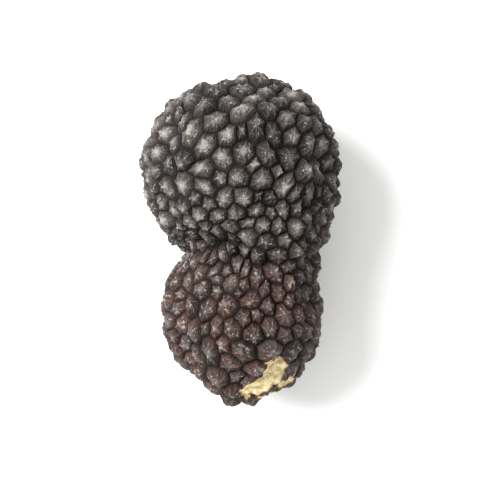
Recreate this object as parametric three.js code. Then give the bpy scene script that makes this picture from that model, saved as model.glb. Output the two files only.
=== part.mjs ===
// Summer truffle (Tuber aestivum), whole, as dug: one closed solid in millimetres, +Z up.
// It lies on its side on a small flat spot. Its long axis runs along Y, with the rounder
// head lobe towards +Y and the foot lobe, where it is chipped, towards -Y.
import * as THREE from "three";
import { ConvexHull } from "three/addons/math/ConvexHull.js";
import { SimplexNoise } from "three/addons/math/SimplexNoise.js";

// Driving dimensions.
const length = 40; // along Y, over the wart tips
const wartCount = 500; // pyramid warts on the whole skin
const wartRise = 0.2; // height of a wart's tip, as a share of the wart's own width
const wartRiseSpread = 0.25; // how much that height varies from wart to wart, up or down
const wartReach = 3.3; // how far a middling wart pushes its neighbours away as it grows
const wartReachSpread = 0.35; // how much that reach varies
const grooveDepth = 0.2; // how far the corners between warts sink below the body
const flatSpotLift = 1.6; // the flat spot's plane, above the lowest wart tip
const seed = 11;

// The lobes that grew into one body, each an ellipsoid with these radii along X, Y and Z. Each
// holds the body's centre inside it, so every line from the centre leaves each lobe once.
const lobe = (name, at, radii) => ({
  name,
  at: new THREE.Vector3(...at),
  radii: new THREE.Vector3(...radii),
});
const lobes = [
  lobe("head", [-0.5, 8.7, 0.2], [10.1, 9.4, 9.8]),
  lobe("crown", [3.0, 7.9, -0.6], [8.0, 9.3, 8.5]),
  lobe("cheek", [-3.5, 7.4, -0.8], [7.7, 9.0, 8.1]),
  lobe("saddle", [2.7, 0.4, 0.9], [5.9, 6.8, 6.3]),
  lobe("foot", [0.9, -9.0, -0.6], [7.8, 9.5, 8.3]),
  lobe("toe", [-1.5, -7.8, -1.3], [7.2, 8.5, 7.4]),
  lobe("belly", [1.2, 0.3, -4.3], [6.0, 7.2, 6.7]),
];
const lobeBlend = 1.1; // 1/mm: the higher it is, the sharper the folds between lobes
const lumpHeight = 1.0; // low swellings all over the body
const lumpRate = 2.4; // swellings per unit of direction

// Hollows pressed into the body, by direction from its centre.
const dimples = [
  { toward: new THREE.Vector3(-0.95, -0.1, 0.3), spread: 0.3, depth: 0.7 },
  { toward: new THREE.Vector3(0.1, -0.2, 0.95), spread: 0.26, depth: 0.6 },
  { toward: new THREE.Vector3(-0.35, 0.6, 0.7), spread: 0.2, depth: 0.7 },
  { toward: new THREE.Vector3(0.6, 0.75, 0.4), spread: 0.2, depth: 0.6 },
];

// The chip: some warts knocked off the end of the foot lobe, inside an ellipsoid with these radii.
const chip = {
  toward: new THREE.Vector3(0.2, -0.97, 0.17),
  radii: new THREE.Vector3(2.9, 3.1, 3.6),
  depth: 0.4, // of a broken wart's middle, below the body
};

THREE.MathUtils.seededRandom(seed);
const random = () => THREE.MathUtils.seededRandom();
const either = () => 2 * random() - 1; // from -1 to 1
const noise = new SimplexNoise({ random });

// Distance from the body's centre to its surface, without warts, along a unit direction.
function bodyRadius(direction) {
  let sum = 0;
  for (const { at, radii } of lobes) {
    const way = direction.clone().divide(radii);
    const centre = at.clone().divide(radii);
    const along = way.dot(centre);
    const spread = way.lengthSq();
    const exit = (along + Math.sqrt(along ** 2 - spread * (centre.lengthSq() - 1))) / spread;
    sum += Math.exp(lobeBlend * exit);
  }
  let radius = Math.log(sum) / lobeBlend;
  const { x, y, z } = direction;
  radius += lumpHeight * noise.noise3d(lumpRate * x, lumpRate * y, lumpRate * z);
  for (const dimple of dimples) {
    const share = direction.angleTo(dimple.toward) / dimple.spread;
    radius -= dimple.depth * Math.exp(-(share ** 2));
  }
  return radius;
}

function onBody(direction) {
  return direction.clone().multiplyScalar(bodyRadius(direction));
}

// Directions of the wart centres: scattered evenly over the body's skin, then pushed apart
// until the warts pack together with the uneven sizes of real ones.
function wartDirections() {
  let leastGap = 2.4;
  const easing = 0.9995; // the least gap shrinks by this, each time a wart doesn't fit
  const centres = [];
  while (centres.length < wartCount) {
    const direction = new THREE.Vector3(either(), either(), either());
    if (direction.length() > 1) continue; // so that all directions are equally likely
    const centre = onBody(direction.normalize());
    if (centres.every((other) => other.distanceTo(centre) > leastGap)) centres.push(centre);
    else leastGap *= easing;
  }

  const passes = 14;
  const step = 0.2;
  const reaches = centres.map(() => wartReach * (1 + wartReachSpread * either()));
  const gap = new THREE.Vector3();
  for (let pass = 0; pass < passes; pass++) {
    centres.forEach((centre, i) => {
      const push = new THREE.Vector3();
      centres.forEach((other, j) => {
        const reach = (reaches[i] + reaches[j]) / 2;
        const apart = gap.subVectors(centre, other).length();
        if (i !== j && apart < reach) push.addScaledVector(gap, reach / apart - 1);
      });
      centre.copy(onBody(push.multiplyScalar(step).add(centre).normalize()));
    });
  }
  return centres.map((centre) => centre.normalize());
}

// A directed side from wart a to wart b, as one number.
const side = (a, b) => a * wartCount + b;
const ends = (ab) => [Math.floor(ab / wartCount), ab % wartCount];

// The net of triangles between neighbouring warts, as a map: for each directed side, the third
// wart of the triangle on its left. The hull of the directions gives a first net. Then every
// two triangles with a shared side swap it for their other diagonal, where that suits the body.
function wartNet(directions, centres) {
  const wartOf = new Map(directions.map((direction, i) => [direction, i]));
  const third = new Map();
  const setTriangle = (a, b, c) => {
    third.set(side(a, b), c);
    third.set(side(b, c), a);
    third.set(side(c, a), b);
  };
  for (const { edge } of new ConvexHull().setFromPoints(directions).faces) {
    setTriangle(...[edge, edge.next, edge.prev].map((e) => wartOf.get(e.head().point)));
  }
  const angleAt = (c, a, b) => {
    const toA = new THREE.Vector3().subVectors(centres[a], centres[c]);
    return toA.angleTo(new THREE.Vector3().subVectors(centres[b], centres[c]));
  };
  let swaps;
  do {
    swaps = 0;
    for (const ab of [...third.keys()]) {
      if (!third.has(ab)) continue;
      const [a, b] = ends(ab);
      const c = third.get(ab);
      const d = third.get(side(b, a));
      // a swap always shortens the net, so the swaps come to an end
      const shorter = centres[c].distanceTo(centres[d]) < centres[a].distanceTo(centres[b]);
      if (!shorter || angleAt(c, a, b) + angleAt(d, a, b) <= Math.PI) continue;
      if (third.has(side(c, d))) continue;
      third.delete(ab);
      third.delete(side(b, a));
      setTriangle(a, d, c);
      setTriangle(d, b, c);
      swaps++;
    }
  } while (swaps > 0);
  return third;
}

// The skin: each wart is a pyramid whose tip stands over its centre, and whose base is the
// polygon of points midway between it and its neighbours.
function skinGeometry() {
  const directions = wartDirections();
  const centres = directions.map(onBody);
  const third = wartNet(directions, centres);

  // One corner of the grooves stands in the middle of each triangle of the net.
  const cornerAt = new Map();
  const corners = [];
  const normals = centres.map(() => new THREE.Vector3());
  const sides = centres.map(() => []);
  for (const [ab, c] of third) {
    const [a, b] = ends(ab);
    sides[a].push(centres[a].distanceTo(centres[b]));
    if (cornerAt.has(ab)) continue;
    for (const s of [ab, side(b, c), side(c, a)]) cornerAt.set(s, wartCount + corners.length);
    const toB = new THREE.Vector3().subVectors(centres[b], centres[a]);
    const toC = new THREE.Vector3().subVectors(centres[c], centres[a]);
    const facing = toB.cross(toC);
    for (const wart of [a, b, c]) normals[wart].add(facing);
    const middle = new THREE.Vector3().add(centres[a]).add(centres[b]).add(centres[c]).normalize();
    corners.push(middle.multiplyScalar(bodyRadius(middle) - grooveDepth));
  }

  // Each directed side gives one facet of the wart it starts from.
  const facets = [];
  for (const ab of third.keys()) {
    const [a, b] = ends(ab);
    facets.push(a, cornerAt.get(side(b, a)), cornerAt.get(ab));
  }

  const chipCentre = onBody(chip.toward.clone().normalize());
  const tips = centres.map((centre, i) => {
    const width = sides[i].reduce((sum, s) => sum + s, 0) / sides[i].length;
    const rise = width * wartRise * (1 + wartRiseSpread * either());
    const chipped = centre.clone().sub(chipCentre).divide(chip.radii).length() < 1;
    return centre.clone().addScaledVector(normals[i].normalize(), chipped ? -chip.depth : rise);
  });
  const points = [...tips, ...corners];

  // The flat spot: everything below its plane is pressed up to it.
  const plane = Math.min(...points.map((point) => point.z)) + flatSpotLift;
  for (const point of points) point.z = Math.max(point.z, plane);

  return new THREE.BufferGeometry().setFromPoints(points).setIndex(facets);
}

// Scales the skin to its length and puts the origin at the middle of its box, on the flat spot.
function fitted(geometry) {
  geometry.computeBoundingBox();
  const scale = length / (geometry.boundingBox.max.y - geometry.boundingBox.min.y);
  geometry.scale(scale, scale, scale);
  geometry.computeBoundingBox();
  const middle = geometry.boundingBox.getCenter(new THREE.Vector3());
  geometry.translate(-middle.x, -middle.y, -geometry.boundingBox.min.z);
  geometry.computeVertexNormals();
  return geometry;
}

const skin = new THREE.MeshStandardMaterial({ color: 0x2b2320, roughness: 0.7, metalness: 0 });

const truffle = new THREE.Mesh(fitted(skinGeometry()), skin);
truffle.name = "truffle";

const part = new THREE.Group();
part.add(truffle);

export default part;
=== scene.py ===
import random

import bmesh
import bpy
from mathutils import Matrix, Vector


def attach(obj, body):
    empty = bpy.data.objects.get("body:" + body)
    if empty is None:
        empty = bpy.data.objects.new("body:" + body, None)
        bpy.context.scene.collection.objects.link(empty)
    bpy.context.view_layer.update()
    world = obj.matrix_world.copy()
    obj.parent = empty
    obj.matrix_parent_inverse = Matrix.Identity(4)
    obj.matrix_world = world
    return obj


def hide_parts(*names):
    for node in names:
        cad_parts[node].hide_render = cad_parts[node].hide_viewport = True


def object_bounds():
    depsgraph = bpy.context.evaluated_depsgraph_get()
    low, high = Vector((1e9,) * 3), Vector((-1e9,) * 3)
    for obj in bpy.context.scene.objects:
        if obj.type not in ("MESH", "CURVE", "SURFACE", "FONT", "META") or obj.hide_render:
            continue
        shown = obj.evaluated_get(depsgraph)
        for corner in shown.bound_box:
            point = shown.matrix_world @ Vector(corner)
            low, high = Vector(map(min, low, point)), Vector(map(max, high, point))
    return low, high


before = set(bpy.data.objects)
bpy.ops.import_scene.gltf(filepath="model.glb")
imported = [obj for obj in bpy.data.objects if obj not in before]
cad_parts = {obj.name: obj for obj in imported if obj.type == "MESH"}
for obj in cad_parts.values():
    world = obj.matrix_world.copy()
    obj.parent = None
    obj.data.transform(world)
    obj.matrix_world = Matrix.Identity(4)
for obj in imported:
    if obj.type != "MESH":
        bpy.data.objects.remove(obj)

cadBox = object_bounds()
scene = bpy.context.scene

# Camera: straight above the truffle, with the head lobe at the top of the picture.
cameraValues = {
    "lensMm": 150,
    "sensorMm": 36,
    "fill": 0.7,  # the truffle's length, as a share of the picture's height
    "nearest": 0.01,  # nothing closer than this is drawn
}


def makeCamera():
    low, high = cadBox
    middle = (low + high) / 2
    seen = (high.y - low.y) / cameraValues["fill"]
    data = bpy.data.cameras.new("camera")
    data.lens = cameraValues["lensMm"]
    data.sensor_width = cameraValues["sensorMm"]
    data.clip_start = cameraValues["nearest"]
    camera = bpy.data.objects.new("camera", data)
    camera.location = middle
    camera.location.z += seen * cameraValues["lensMm"] / cameraValues["sensorMm"]
    scene.collection.objects.link(camera)
    scene.camera = camera


makeCamera()
print("camera is up")


# Helpers for node trees.

def addNode(tree, kind, **settings):
    node = tree.nodes.new(kind)
    for name, value in settings.items():
        setattr(node, name, value)
    return node


def feed(tree, socket, value):  # a socket is linked, anything else is typed in
    if isinstance(value, bpy.types.NodeSocket):
        tree.links.new(value, socket)
    else:
        socket.default_value = value


def maths(tree, operation, *values, clamp=False):
    node = addNode(tree, "ShaderNodeMath", operation=operation, use_clamp=clamp)
    for socket, value in zip(node.inputs, values):
        feed(tree, socket, value)
    return node.outputs[0]


def vectorMaths(tree, operation, *values, scale=None):
    node = addNode(tree, "ShaderNodeVectorMath", operation=operation)
    for socket, value in zip(node.inputs, values):
        feed(tree, socket, value)
    if scale is not None:
        feed(tree, node.inputs["Scale"], scale)
    return node.outputs["Vector"]


def ramp(tree, value, low, high, toLow=0.0, toHigh=1.0):  # eases from one to the other
    node = addNode(tree, "ShaderNodeMapRange", interpolation_type="SMOOTHSTEP")
    given = {"Value": value, "From Min": low, "From Max": high, "To Min": toLow, "To Max": toHigh}
    for name, number in given.items():
        feed(tree, node.inputs[name], number)
    return node.outputs["Result"]


def noise(tree, where, size, detail=2.0, seed=None, colour=False):  # size in metres
    node = addNode(tree, "ShaderNodeTexNoise", noise_dimensions="3D" if seed is None else "4D")
    feed(tree, node.inputs["Vector"], where)
    rate = maths(tree, "DIVIDE", 1.0, size) if isinstance(size, bpy.types.NodeSocket) else 1 / size
    feed(tree, node.inputs["Scale"], rate)
    feed(tree, node.inputs["Detail"], detail)
    if seed is not None:
        feed(tree, node.inputs["W"], seed)
    return node.outputs["Color" if colour else "Fac"]


# The rind's fine mesh. Each facet of each wart is cut into a small even net of triangles, and
# every point learns where on its wart it is.
rindValues = {
    "cuts": 8,  # parts along each side of a facet
    "calming": 4,  # rounds that even out the outward directions, until warts don't tilt them
    "leastRise": 0.0001,  # a wart whose tip rises less than this above its rim is chipped
    "mergeWithin": 0.000001,  # corners this close together are one
    "seed": 5,
}


# For each facet, the one corner of it that is its wart's tip. The highest point of all is a tip.
# A facet beside a known one shares its tip or, across a groove, has it at the far corner.
def findTips(body):
    highest = max(body.verts, key=lambda vert: vert.co.z)
    tipOf = {}
    waiting = [(facet, highest) for facet in highest.link_faces]
    while waiting:
        facet, tip = waiting.pop()
        if facet in tipOf:
            continue
        tipOf[facet] = tip
        for edge in facet.edges:
            for other in edge.link_faces:
                if other in tipOf:
                    continue
                far = next(vert for vert in other.verts if vert not in edge.verts)
                waiting.append((other, tip if tip in edge.verts else far))
    return tipOf


def evenDirections(body):  # outward directions of the body under the warts
    ways = {vert: vert.normal.copy() for vert in body.verts}
    for _ in range(rindValues["calming"]):
        calmer = {}
        for vert in body.verts:
            around = (ways[edge.other_vert(vert)] for edge in vert.link_edges)
            calmer[vert] = sum(around, ways[vert].copy()).normalized()
        ways = calmer
    return ways


def inOrder(tipOf):  # the tips from left to right, so that each wart always draws the same tone
    return sorted(set(tipOf.values()), key=lambda tip: tuple(tip.co))


def chippedTips(tipOf, ways):
    floor = cadBox[0].z + rindValues["leastRise"]  # on the flat spot the warts are only pressed
    chipped = set()
    for tip in inOrder(tipOf):
        rim = [edge.other_vert(tip).co for edge in tip.link_edges]
        rise = (tip.co - sum(rim, Vector()) / len(rim)).dot(ways[tip])
        if rise < rindValues["leastRise"] and tip.co.z > floor:
            chipped.add(tip)
    return chipped


def makeFineRind():
    body = bmesh.new()
    body.from_mesh(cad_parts["truffle"].data)
    bmesh.ops.remove_doubles(body, verts=body.verts, dist=rindValues["mergeWithin"])
    body.normal_update()
    body.verts.index_update()
    tipOf = findTips(body)
    ways = evenDirections(body)
    chipped = chippedTips(tipOf, ways)
    print("chipped warts:", len(chipped))

    randomTone = random.Random(rindValues["seed"])
    toneOf = {tip: randomTone.random() for tip in inOrder(tipOf)}
    bareAt = {}  # for each coarse point, the share of the warts round it that are chipped
    for vert in body.verts:
        warts = {tipOf[facet] for facet in vert.link_faces}
        bareAt[vert] = len(warts & chipped) / len(warts)
    cuts = rindValues["cuts"]
    numberOf = {}  # the number of a fine point, by its shares of the coarse ones
    points = []
    # tipShare runs from 0 at a wart's rim to 1 at its tip, ridge from 0 in the middle of a facet
    # to 1 at its sides, and chip from 0 on whole warts to 1 on chipped ones
    pointFacts = {"outward": [], "tipShare": [], "ridge": [], "chip": []}
    triangles = []
    tones = []

    def finePoint(tip, left, right, shares):
        corners = [(vert, share) for vert, share in zip((tip, left, right), shares) if share]
        key = tuple(sorted((vert.index, share) for vert, share in corners))
        if key not in numberOf:
            numberOf[key] = len(points)
            points.append(sum((vert.co * share for vert, share in corners), Vector()) / cuts)
            outward = sum((ways[vert] * share for vert, share in corners), Vector()).normalized()
            aside = shares[1] + shares[2]
            pointFacts["outward"].append(outward)
            pointFacts["tipShare"].append(shares[0] / cuts)
            pointFacts["ridge"].append(abs(shares[1] - shares[2]) / aside if aside else 1.0)
            pointFacts["chip"].append(sum(bareAt[vert] * share for vert, share in corners) / cuts)
        return numberOf[key]

    for facet in body.faces:
        tip = tipOf[facet]
        start = list(facet.verts).index(tip)
        left, right = (facet.verts[(start + step) % 3] for step in (1, 2))
        rows = [
            [finePoint(tip, left, right, (cuts - row, row - i, i)) for i in range(row + 1)]
            for row in range(cuts + 1)
        ]
        for row in range(cuts):
            for i in range(row + 1):
                triangles.append((rows[row][i], rows[row + 1][i], rows[row + 1][i + 1]))
                if i < row:
                    triangles.append((rows[row][i], rows[row + 1][i + 1], rows[row][i + 1]))
        tones += [toneOf[tip]] * (len(triangles) - len(tones))
    body.free()

    mesh = bpy.data.meshes.new("truffleRind")
    mesh.from_pydata(points, [], triangles)
    for name, values in pointFacts.items():
        vector = name == "outward"
        facts = mesh.attributes.new(name, "FLOAT_VECTOR" if vector else "FLOAT", "POINT")
        flat = [number for way in values for number in way] if vector else values
        facts.data.foreach_set("vector" if vector else "value", flat)
    mesh.attributes.new("tone", "FLOAT", "FACE").data.foreach_set("value", tones)
    return mesh


# The relief of the rind, as a tree of Geometry Nodes. Heights and sizes are in metres.
reliefValues = {
    "Sway": 0.00022,  # how far a wart's edges wander sideways
    "Sway Size": 0.0012,
    "Swell": 0.0001,  # how much a facet bulges
    "Flute": 0.00016,  # how hollow it is between its ridges
    "Worn From": 0.66,  # share of a wart's height above which its tip is worn off
    "Wear": 0.0003,
    "Wear Size": 0.0016,
    "Wear Spread": 0.3,  # how much more of one wart is worn off than of another
    "Groove Depth": 0.0003,
    "Groove Reach": 0.16,  # share of a wart's height that the groove takes
    "Lump": 0.00016,
    "Lump Size": 0.002,
    "Crumb": 0.00007,
    "Crumb Size": 0.00045,
    "Tear Depth": 0.0002,  # how far the flesh lies below the broken warts
    "Tear Size": 0.0013,  # how ragged the chip's outline is
    "Tear From": 0.22,  # the shares of the chip between which the rind gives way to flesh
    "Tear To": 0.36,
    "Floor": cadBox[0].z,
    "Seed": 3.0,
}


def buildReliefTree():
    tree = bpy.data.node_groups.new("wartRelief", "GeometryNodeTree")
    tree.interface.new_socket(name="Geometry", in_out="INPUT", socket_type="NodeSocketGeometry")
    for name, value in reliefValues.items():
        socket = tree.interface.new_socket(name=name, in_out="INPUT", socket_type="NodeSocketFloat")
        socket.default_value = value
    for name in ("Rind", "Flesh"):
        tree.interface.new_socket(name=name, in_out="INPUT", socket_type="NodeSocketMaterial")
    tree.interface.new_socket(name="Geometry", in_out="OUTPUT", socket_type="NodeSocketGeometry")
    given = addNode(tree, "NodeGroupInput").outputs

    def fact(name, kind="FLOAT"):
        node = addNode(tree, "GeometryNodeInputNamedAttribute", data_type=kind)
        node.inputs["Name"].default_value = name
        return next(socket for socket in node.outputs if socket.enabled and socket.name == "Attribute")

    where = addNode(tree, "GeometryNodeInputPosition").outputs["Position"]
    tipShare, ridge, chip = fact("tipShare"), fact("ridge"), fact("chip")

    def waver(size, detail, swing):  # noise round zero that could swing this far in all
        grain = noise(tree, where, given[size], detail, given["Seed"])
        return maths(tree, "MULTIPLY_ADD", grain, swing, -swing / 2)

    def bumpy(size, height, detail):  # most of it stays within the height, up or down
        return maths(tree, "MULTIPLY", waver(size, detail, 4.0), given[height])

    # a hump over the facet's middle height, nothing at its rim and tip
    middle = maths(tree, "MULTIPLY", tipShare, maths(tree, "SUBTRACT", 1.0, tipShare))
    middle = maths(tree, "MULTIPLY", middle, 4.0)
    between = maths(tree, "SUBTRACT", 1.0, maths(tree, "POWER", ridge, 2.0))
    swell = maths(tree, "MULTIPLY", middle, given["Swell"])
    flute = maths(tree, "MULTIPLY", maths(tree, "MULTIPLY", middle, between), given["Flute"])

    wornFrom = maths(tree, "ADD", given["Worn From"], waver("Wear Size", 1.0, 0.5))
    spread = maths(tree, "MULTIPLY", maths(tree, "SUBTRACT", fact("tone"), 0.5), given["Wear Spread"])
    wornFrom = maths(tree, "SUBTRACT", wornFrom, spread)
    worn = maths(tree, "MAXIMUM", maths(tree, "SUBTRACT", tipShare, wornFrom), 0.0)
    wholeWear = maths(tree, "SUBTRACT", 1.0, given["Worn From"])
    wear = maths(tree, "MULTIPLY", maths(tree, "DIVIDE", worn, wholeWear), given["Wear"])

    # the flesh shows where the warts are broken off, inside a ragged outline
    nearChip = maths(tree, "MULTIPLY", chip, 4.0, clamp=True)
    tear = maths(tree, "MULTIPLY", waver("Tear Size", 3.0, 1.6), nearChip)
    bare = ramp(tree, maths(tree, "ADD", chip, tear), given["Tear From"], given["Tear To"])
    intact = maths(tree, "SUBTRACT", 1.0, bare)
    wear = maths(tree, "MULTIPLY", wear, intact)

    low = maths(tree, "SUBTRACT", 1.0, maths(tree, "DIVIDE", tipShare, given["Groove Reach"]), clamp=True)
    groove = maths(tree, "MULTIPLY", maths(tree, "MULTIPLY", low, intact), given["Groove Depth"])

    height = maths(tree, "ADD", bumpy("Lump Size", "Lump", 1.0), bumpy("Crumb Size", "Crumb", 3.0))
    height = maths(tree, "ADD", height, swell)
    for loss in (flute, wear, groove, maths(tree, "MULTIPLY", bare, given["Tear Depth"])):
        height = maths(tree, "SUBTRACT", height, loss)

    wander = noise(tree, where, given["Sway Size"], 1.0, given["Seed"], colour=True)
    wander = vectorMaths(tree, "SUBTRACT", wander, (0.5, 0.5, 0.5))
    wander = vectorMaths(tree, "SCALE", wander, scale=maths(tree, "MULTIPLY", given["Sway"], 2.0))
    outward = vectorMaths(tree, "SCALE", fact("outward", "FLOAT_VECTOR"), scale=height)
    target = vectorMaths(tree, "ADD", where, vectorMaths(tree, "ADD", outward, wander))

    # nothing reaches below what the truffle rests on
    parts = addNode(tree, "ShaderNodeSeparateXYZ")
    feed(tree, parts.inputs[0], target)
    rested = addNode(tree, "ShaderNodeCombineXYZ")
    feed(tree, rested.inputs["X"], parts.outputs["X"])
    feed(tree, rested.inputs["Y"], parts.outputs["Y"])
    feed(tree, rested.inputs["Z"], maths(tree, "MAXIMUM", parts.outputs["Z"], given["Floor"]))

    marked = addNode(tree, "GeometryNodeStoreNamedAttribute", data_type="FLOAT", domain="POINT")
    marked.inputs["Name"].default_value = "bare"
    feed(tree, marked.inputs["Geometry"], given["Geometry"])
    feed(tree, marked.inputs["Value"], bare)
    place = addNode(tree, "GeometryNodeSetPosition")
    feed(tree, place.inputs["Geometry"], marked.outputs[0])
    feed(tree, place.inputs["Position"], rested.outputs[0])
    smooth = addNode(tree, "GeometryNodeSetShadeSmooth")
    feed(tree, smooth.inputs["Geometry"], place.outputs[0])
    real = addNode(tree, "GeometryNodeRealizeInstances")
    feed(tree, real.inputs["Geometry"], smooth.outputs[0])
    cover = addNode(tree, "GeometryNodeSetMaterial")
    feed(tree, cover.inputs["Geometry"], real.outputs[0])
    feed(tree, cover.inputs["Material"], given["Rind"])
    fleshCover = addNode(tree, "GeometryNodeSetMaterial")
    feed(tree, fleshCover.inputs["Geometry"], cover.outputs[0])
    feed(tree, fleshCover.inputs["Material"], given["Flesh"])
    feed(tree, fleshCover.inputs["Selection"], maths(tree, "GREATER_THAN", fact("bare"), 0.5))
    done = addNode(tree, "NodeGroupOutput")
    feed(tree, done.inputs["Geometry"], fleshCover.outputs[0])
    return tree


def shapeRind(mesh, tree, rind, flesh):
    blank = bpy.data.objects.new("truffleBlank", mesh)
    scene.collection.objects.link(blank)
    relief = blank.modifiers.new("wartRelief", "NODES")
    relief.node_group = tree
    chosen = {**reliefValues, "Rind": rind, "Flesh": flesh}
    for socket in tree.interface.items_tree:
        if socket.in_out == "INPUT" and socket.name in chosen:
            relief[socket.identifier] = chosen[socket.name]
    graph = bpy.context.evaluated_depsgraph_get()
    shaped = bpy.data.meshes.new_from_object(blank.evaluated_get(graph))
    shaped.name = "truffleSkin"
    blank.modifiers.clear()
    bpy.data.objects.remove(blank)
    skin = bpy.data.objects.new("truffleSkin", shaped)
    scene.collection.objects.link(skin)
    return skin


# Materials. Colours are linear.

def newMaterial(name):
    material = bpy.data.materials.new(name)
    material.use_nodes = True
    tree = material.node_tree
    return material, tree, tree.nodes["Principled BSDF"]


def blend(tree, share, first, second):
    node = addNode(tree, "ShaderNodeMix", data_type="RGBA")
    feed(tree, node.inputs["Factor"], share)
    feed(tree, node.inputs[6], first)
    feed(tree, node.inputs[7], second)
    return node.outputs[2]


def colour(red, green, blue):
    return (red, green, blue, 1.0)


def shaderFact(tree, name):
    return addNode(tree, "ShaderNodeAttribute", attribute_name=name).outputs["Fac"]


# Fine grain, shared by the rind and the flesh: a height for the bump, and a mask of specks.
def buildGrainGroup():
    group = bpy.data.node_groups.new("fineGrain", "ShaderNodeTree")
    for name in ("Grain Size", "Speck Size", "Speck Share"):
        group.interface.new_socket(name=name, in_out="INPUT", socket_type="NodeSocketFloat")
    group.interface.new_socket(name="Height", in_out="OUTPUT", socket_type="NodeSocketFloat")
    group.interface.new_socket(name="Specks", in_out="OUTPUT", socket_type="NodeSocketFloat")
    given = addNode(group, "NodeGroupInput").outputs
    where = addNode(group, "ShaderNodeTexCoord").outputs["Object"]
    grain = noise(group, where, given["Grain Size"], 4.0)
    specks = noise(group, where, given["Speck Size"], 2.0)
    edge = maths(group, "SUBTRACT", 0.75, maths(group, "MULTIPLY", given["Speck Share"], 0.5))
    speckMask = ramp(group, specks, edge, maths(group, "ADD", edge, 0.08))
    done = addNode(group, "NodeGroupOutput")
    feed(group, done.inputs["Height"], grain)
    feed(group, done.inputs["Specks"], speckMask)
    return group


def useGrain(tree, group, look):
    node = addNode(tree, "ShaderNodeGroup", node_tree=group)
    node.inputs["Grain Size"].default_value = look["grainSize"]
    node.inputs["Speck Size"].default_value = look["speckSize"]
    node.inputs["Speck Share"].default_value = look["speckShare"]
    return node.outputs["Height"], node.outputs["Specks"]


def addBump(tree, shader, height, distance):
    bump = addNode(tree, "ShaderNodeBump")
    bump.inputs["Distance"].default_value = distance
    feed(tree, bump.inputs["Height"], height)
    feed(tree, shader.inputs["Normal"], bump.outputs["Normal"])


rindLook = {
    "black": colour(0.0110, 0.0085, 0.0075),
    "umber": colour(0.047, 0.037, 0.031),
    "redBrown": colour(0.050, 0.020, 0.0135),
    # painted shade: the near-black colour of the grooves between the warts
    "groove": colour(0.0055, 0.0035, 0.0028),
    # partly real wear, partly painted highlight: the light grey of worn wart tips and ridges
    "wornGreyAndHighlight": colour(0.235, 0.212, 0.202),
    # partly real dust, partly painted glints: pale specks on the wart tips
    "dustAndGlint": colour(0.30, 0.265, 0.24),
    "tornEdge": colour(0.10, 0.055, 0.028),
    "patchSize": 0.005,  # sizes in metres
    "toneShare": 0.6,  # how much one wart's colour differs from the next one's
    "rustSize": 0.0026,
    "wearAndHighlightSize": 0.0014,
    "grainSize": 0.00025,
    "speckSize": 0.0004,
    "speckShare": 0.35,
    "footStarts": 0.003,  # the truffle turns redder along Y between these
    "footIsRed": -0.008,
    "footLosesWearAndHighlight": -0.65,
    "ridgeWearAndHighlight": 0.35,
    "roughness": 0.62,
    "wornSmoother": -0.14,
    "grooveRougher": 0.2,
    "gloss": 0.26,  # low, because the fine pores swallow the reflections
    "ledges": 30.0,  # radians from a wart's rim to its tip
    "ledgeHeight": 0.12,  # shares of the bump
    "furrows": 12.5664,  # radians across half a facet
    "furrowHeight": 0.16,
    "wobble": 12.0,  # radians that the ledges and furrows stray by
    "bump": 0.00018,  # height of the finest relief
}


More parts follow.
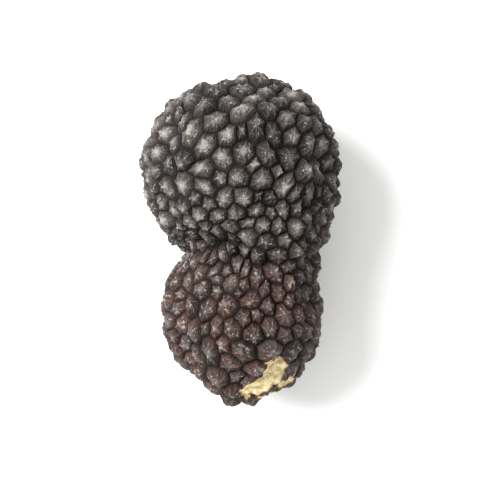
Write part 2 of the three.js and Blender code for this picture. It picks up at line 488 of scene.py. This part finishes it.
def makeRind(grainGroup):
    material, tree, shader = newMaterial("truffleRind")
    look = rindLook
    where = addNode(tree, "ShaderNodeTexCoord").outputs["Object"]
    facts = ("tipShare", "ridge", "tone", "bare")
    tipShare, ridge, tone, bare = (shaderFact(tree, name) for name in facts)
    height, specks = useGrain(tree, grainGroup, look)

    patches = noise(tree, where, look["patchSize"], 3.0)
    mixed = maths(tree, "MULTIPLY_ADD", maths(tree, "SUBTRACT", tone, 0.5), look["toneShare"], patches)
    base = blend(tree, ramp(tree, mixed, 0.25, 0.75), look["black"], look["umber"])

    # the foot lobe is the redder one
    along = addNode(tree, "ShaderNodeSeparateXYZ")
    feed(tree, along.inputs[0], where)
    footShare = ramp(tree, along.outputs["Y"], look["footStarts"], look["footIsRed"])
    rusty = ramp(tree, noise(tree, where, look["rustSize"], 2.0), 0.36, 0.6, 0.2, 0.95)
    base = blend(tree, maths(tree, "MULTIPLY", footShare, rusty), base, look["redBrown"])

    # worn tips and ridges are grey, partly real wear and partly painted highlight, more on some warts
    # than on others, and the grooves are near black as painted shade
    wearAndHighlightPatches = ramp(tree, noise(tree, where, look["wearAndHighlightSize"], 3.0), 0.30, 0.62)
    wearAndHighlightPatches = maths(tree, "MULTIPLY", wearAndHighlightPatches, ramp(tree, tone, 0.0, 1.0, 0.45, 1.2))
    onFoot = maths(tree, "MULTIPLY_ADD", footShare, look["footLosesWearAndHighlight"], 1.0)
    wearAndHighlightPatches = maths(tree, "MULTIPLY", wearAndHighlightPatches, onFoot)
    tipWearAndHighlight = maths(tree, "MULTIPLY", ramp(tree, tipShare, 0.3, 0.85), wearAndHighlightPatches)
    ridgeWearAndHighlight = maths(tree, "MULTIPLY", ramp(tree, ridge, 0.7, 1.0), ramp(tree, tipShare, 0.15, 0.5))
    wear = maths(tree, "MAXIMUM", tipWearAndHighlight, maths(tree, "MULTIPLY", ridgeWearAndHighlight, look["ridgeWearAndHighlight"]))
    # painted highlight mixed with real wear: the tips and ridges are turned light grey
    base = blend(tree, wear, base, look["wornGreyAndHighlight"])
    # pale specks on the wart tips, partly real dust and partly painted glints
    dustAndGlintSpecks = maths(tree, "MULTIPLY", specks, ramp(tree, tipShare, 0.2, 0.5, 0.0, 0.75))
    base = blend(tree, dustAndGlintSpecks, base, look["dustAndGlint"])
    # painted shade: the grooves between the warts are darkened to near black
    base = blend(tree, ramp(tree, tipShare, 0.24, 0.0), base, look["groove"])
    base = blend(tree, ramp(tree, bare, 0.0, 0.4), base, look["tornEdge"])
    feed(tree, shader.inputs["Base Color"], base)
    shader.inputs["Specular IOR Level"].default_value = look["gloss"]

    rough = maths(tree, "MULTIPLY_ADD", wear, look["wornSmoother"], look["roughness"])
    rough = maths(tree, "ADD", rough, ramp(tree, tipShare, 0.25, 0.0, 0.0, look["grooveRougher"]))
    feed(tree, shader.inputs["Roughness"], rough)

    # fine ledges run round each wart, parallel to its rim, and furrows run down from its tip
    wobble = maths(tree, "MULTIPLY", patches, look["wobble"])
    ledges = maths(tree, "SINE", maths(tree, "MULTIPLY_ADD", tipShare, look["ledges"], wobble))
    furrows = maths(tree, "COSINE", maths(tree, "MULTIPLY_ADD", ridge, look["furrows"], wobble))
    furrows = maths(tree, "MULTIPLY", furrows, ramp(tree, tipShare, 0.9, 0.5))
    relief = maths(tree, "MULTIPLY_ADD", ledges, look["ledgeHeight"], height)
    relief = maths(tree, "MULTIPLY_ADD", furrows, look["furrowHeight"], relief)
    addBump(tree, shader, relief, look["bump"])
    return material


fleshLook = {
    "cream": colour(0.76, 0.66, 0.36),
    "hazel": colour(0.44, 0.31, 0.13),
    "rim": colour(0.20, 0.11, 0.05),
    "veinSize": 0.0011,  # sizes in metres
    "grainSize": 0.0002,
    "speckSize": 0.0006,
    "speckShare": 0.3,
    "roughness": 0.6,
    "speckRougher": 0.15,
    "bump": 0.0001,
}


def makeFlesh(grainGroup):
    material, tree, shader = newMaterial("truffleFlesh")
    look = fleshLook
    where = addNode(tree, "ShaderNodeTexCoord").outputs["Object"]
    height, specks = useGrain(tree, grainGroup, look)
    veins = ramp(tree, noise(tree, where, look["veinSize"], 3.0), 0.42, 0.6)
    base = blend(tree, veins, look["cream"], look["hazel"])
    base = blend(tree, maths(tree, "MULTIPLY", specks, 0.5), base, look["rim"])
    base = blend(tree, ramp(tree, shaderFact(tree, "bare"), 1.0, 0.5), base, look["rim"])
    feed(tree, shader.inputs["Base Color"], base)
    rough = maths(tree, "MULTIPLY_ADD", specks, look["speckRougher"], look["roughness"])
    feed(tree, shader.inputs["Roughness"], rough)
    addBump(tree, shader, height, look["bump"])
    return material


grainGroup = buildGrainGroup()
rindMaterial = makeRind(grainGroup)
fleshMaterial = makeFlesh(grainGroup)
skin = shapeRind(makeFineRind(), buildReliefTree(), rindMaterial, fleshMaterial)
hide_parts("truffle")
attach(skin, "root")
print("rind is done:", len(skin.data.polygons), "triangles")


# Floor and light.
studio = {
    "floorHalf": 6.0,
    "floorColour": colour(0.92, 0.92, 0.91),
    "floorRoughness": 0.8,
    "skyStrength": 1.0,
    "keyPlace": (-0.40, 0.17, 0.42),
    "keySize": 0.42,
    "keyPower": 8.0,
}


def makeFloor():
    half = studio["floorHalf"]
    height = cadBox[0].z
    corners = [(-half, -half, height), (half, -half, height), (half, half, height), (-half, half, height)]
    mesh = bpy.data.meshes.new("floor")
    mesh.from_pydata(corners, [], [(0, 1, 2, 3)])
    floor = bpy.data.objects.new("floor", mesh)
    scene.collection.objects.link(floor)
    material, _, shader = newMaterial("paleFloor")
    shader.inputs["Base Color"].default_value = studio["floorColour"]
    shader.inputs["Roughness"].default_value = studio["floorRoughness"]
    mesh.materials.append(material)


def makeLight():
    world = bpy.data.worlds.new("studio")
    world.use_nodes = True
    sky = world.node_tree.nodes["Background"]
    sky.inputs["Color"].default_value = colour(1, 1, 1)
    sky.inputs["Strength"].default_value = studio["skyStrength"]
    scene.world = world
    data = bpy.data.lights.new("key", "AREA")
    data.shape = "DISK"
    data.size = studio["keySize"]
    data.energy = studio["keyPower"]
    key = bpy.data.objects.new("key", data)
    key.location = studio["keyPlace"]
    key.rotation_euler = (-key.location).to_track_quat("-Z", "Y").to_euler()
    scene.collection.objects.link(key)
    scene.view_settings.view_transform = "Standard"


makeFloor()
makeLight()
print("floor and light are in")
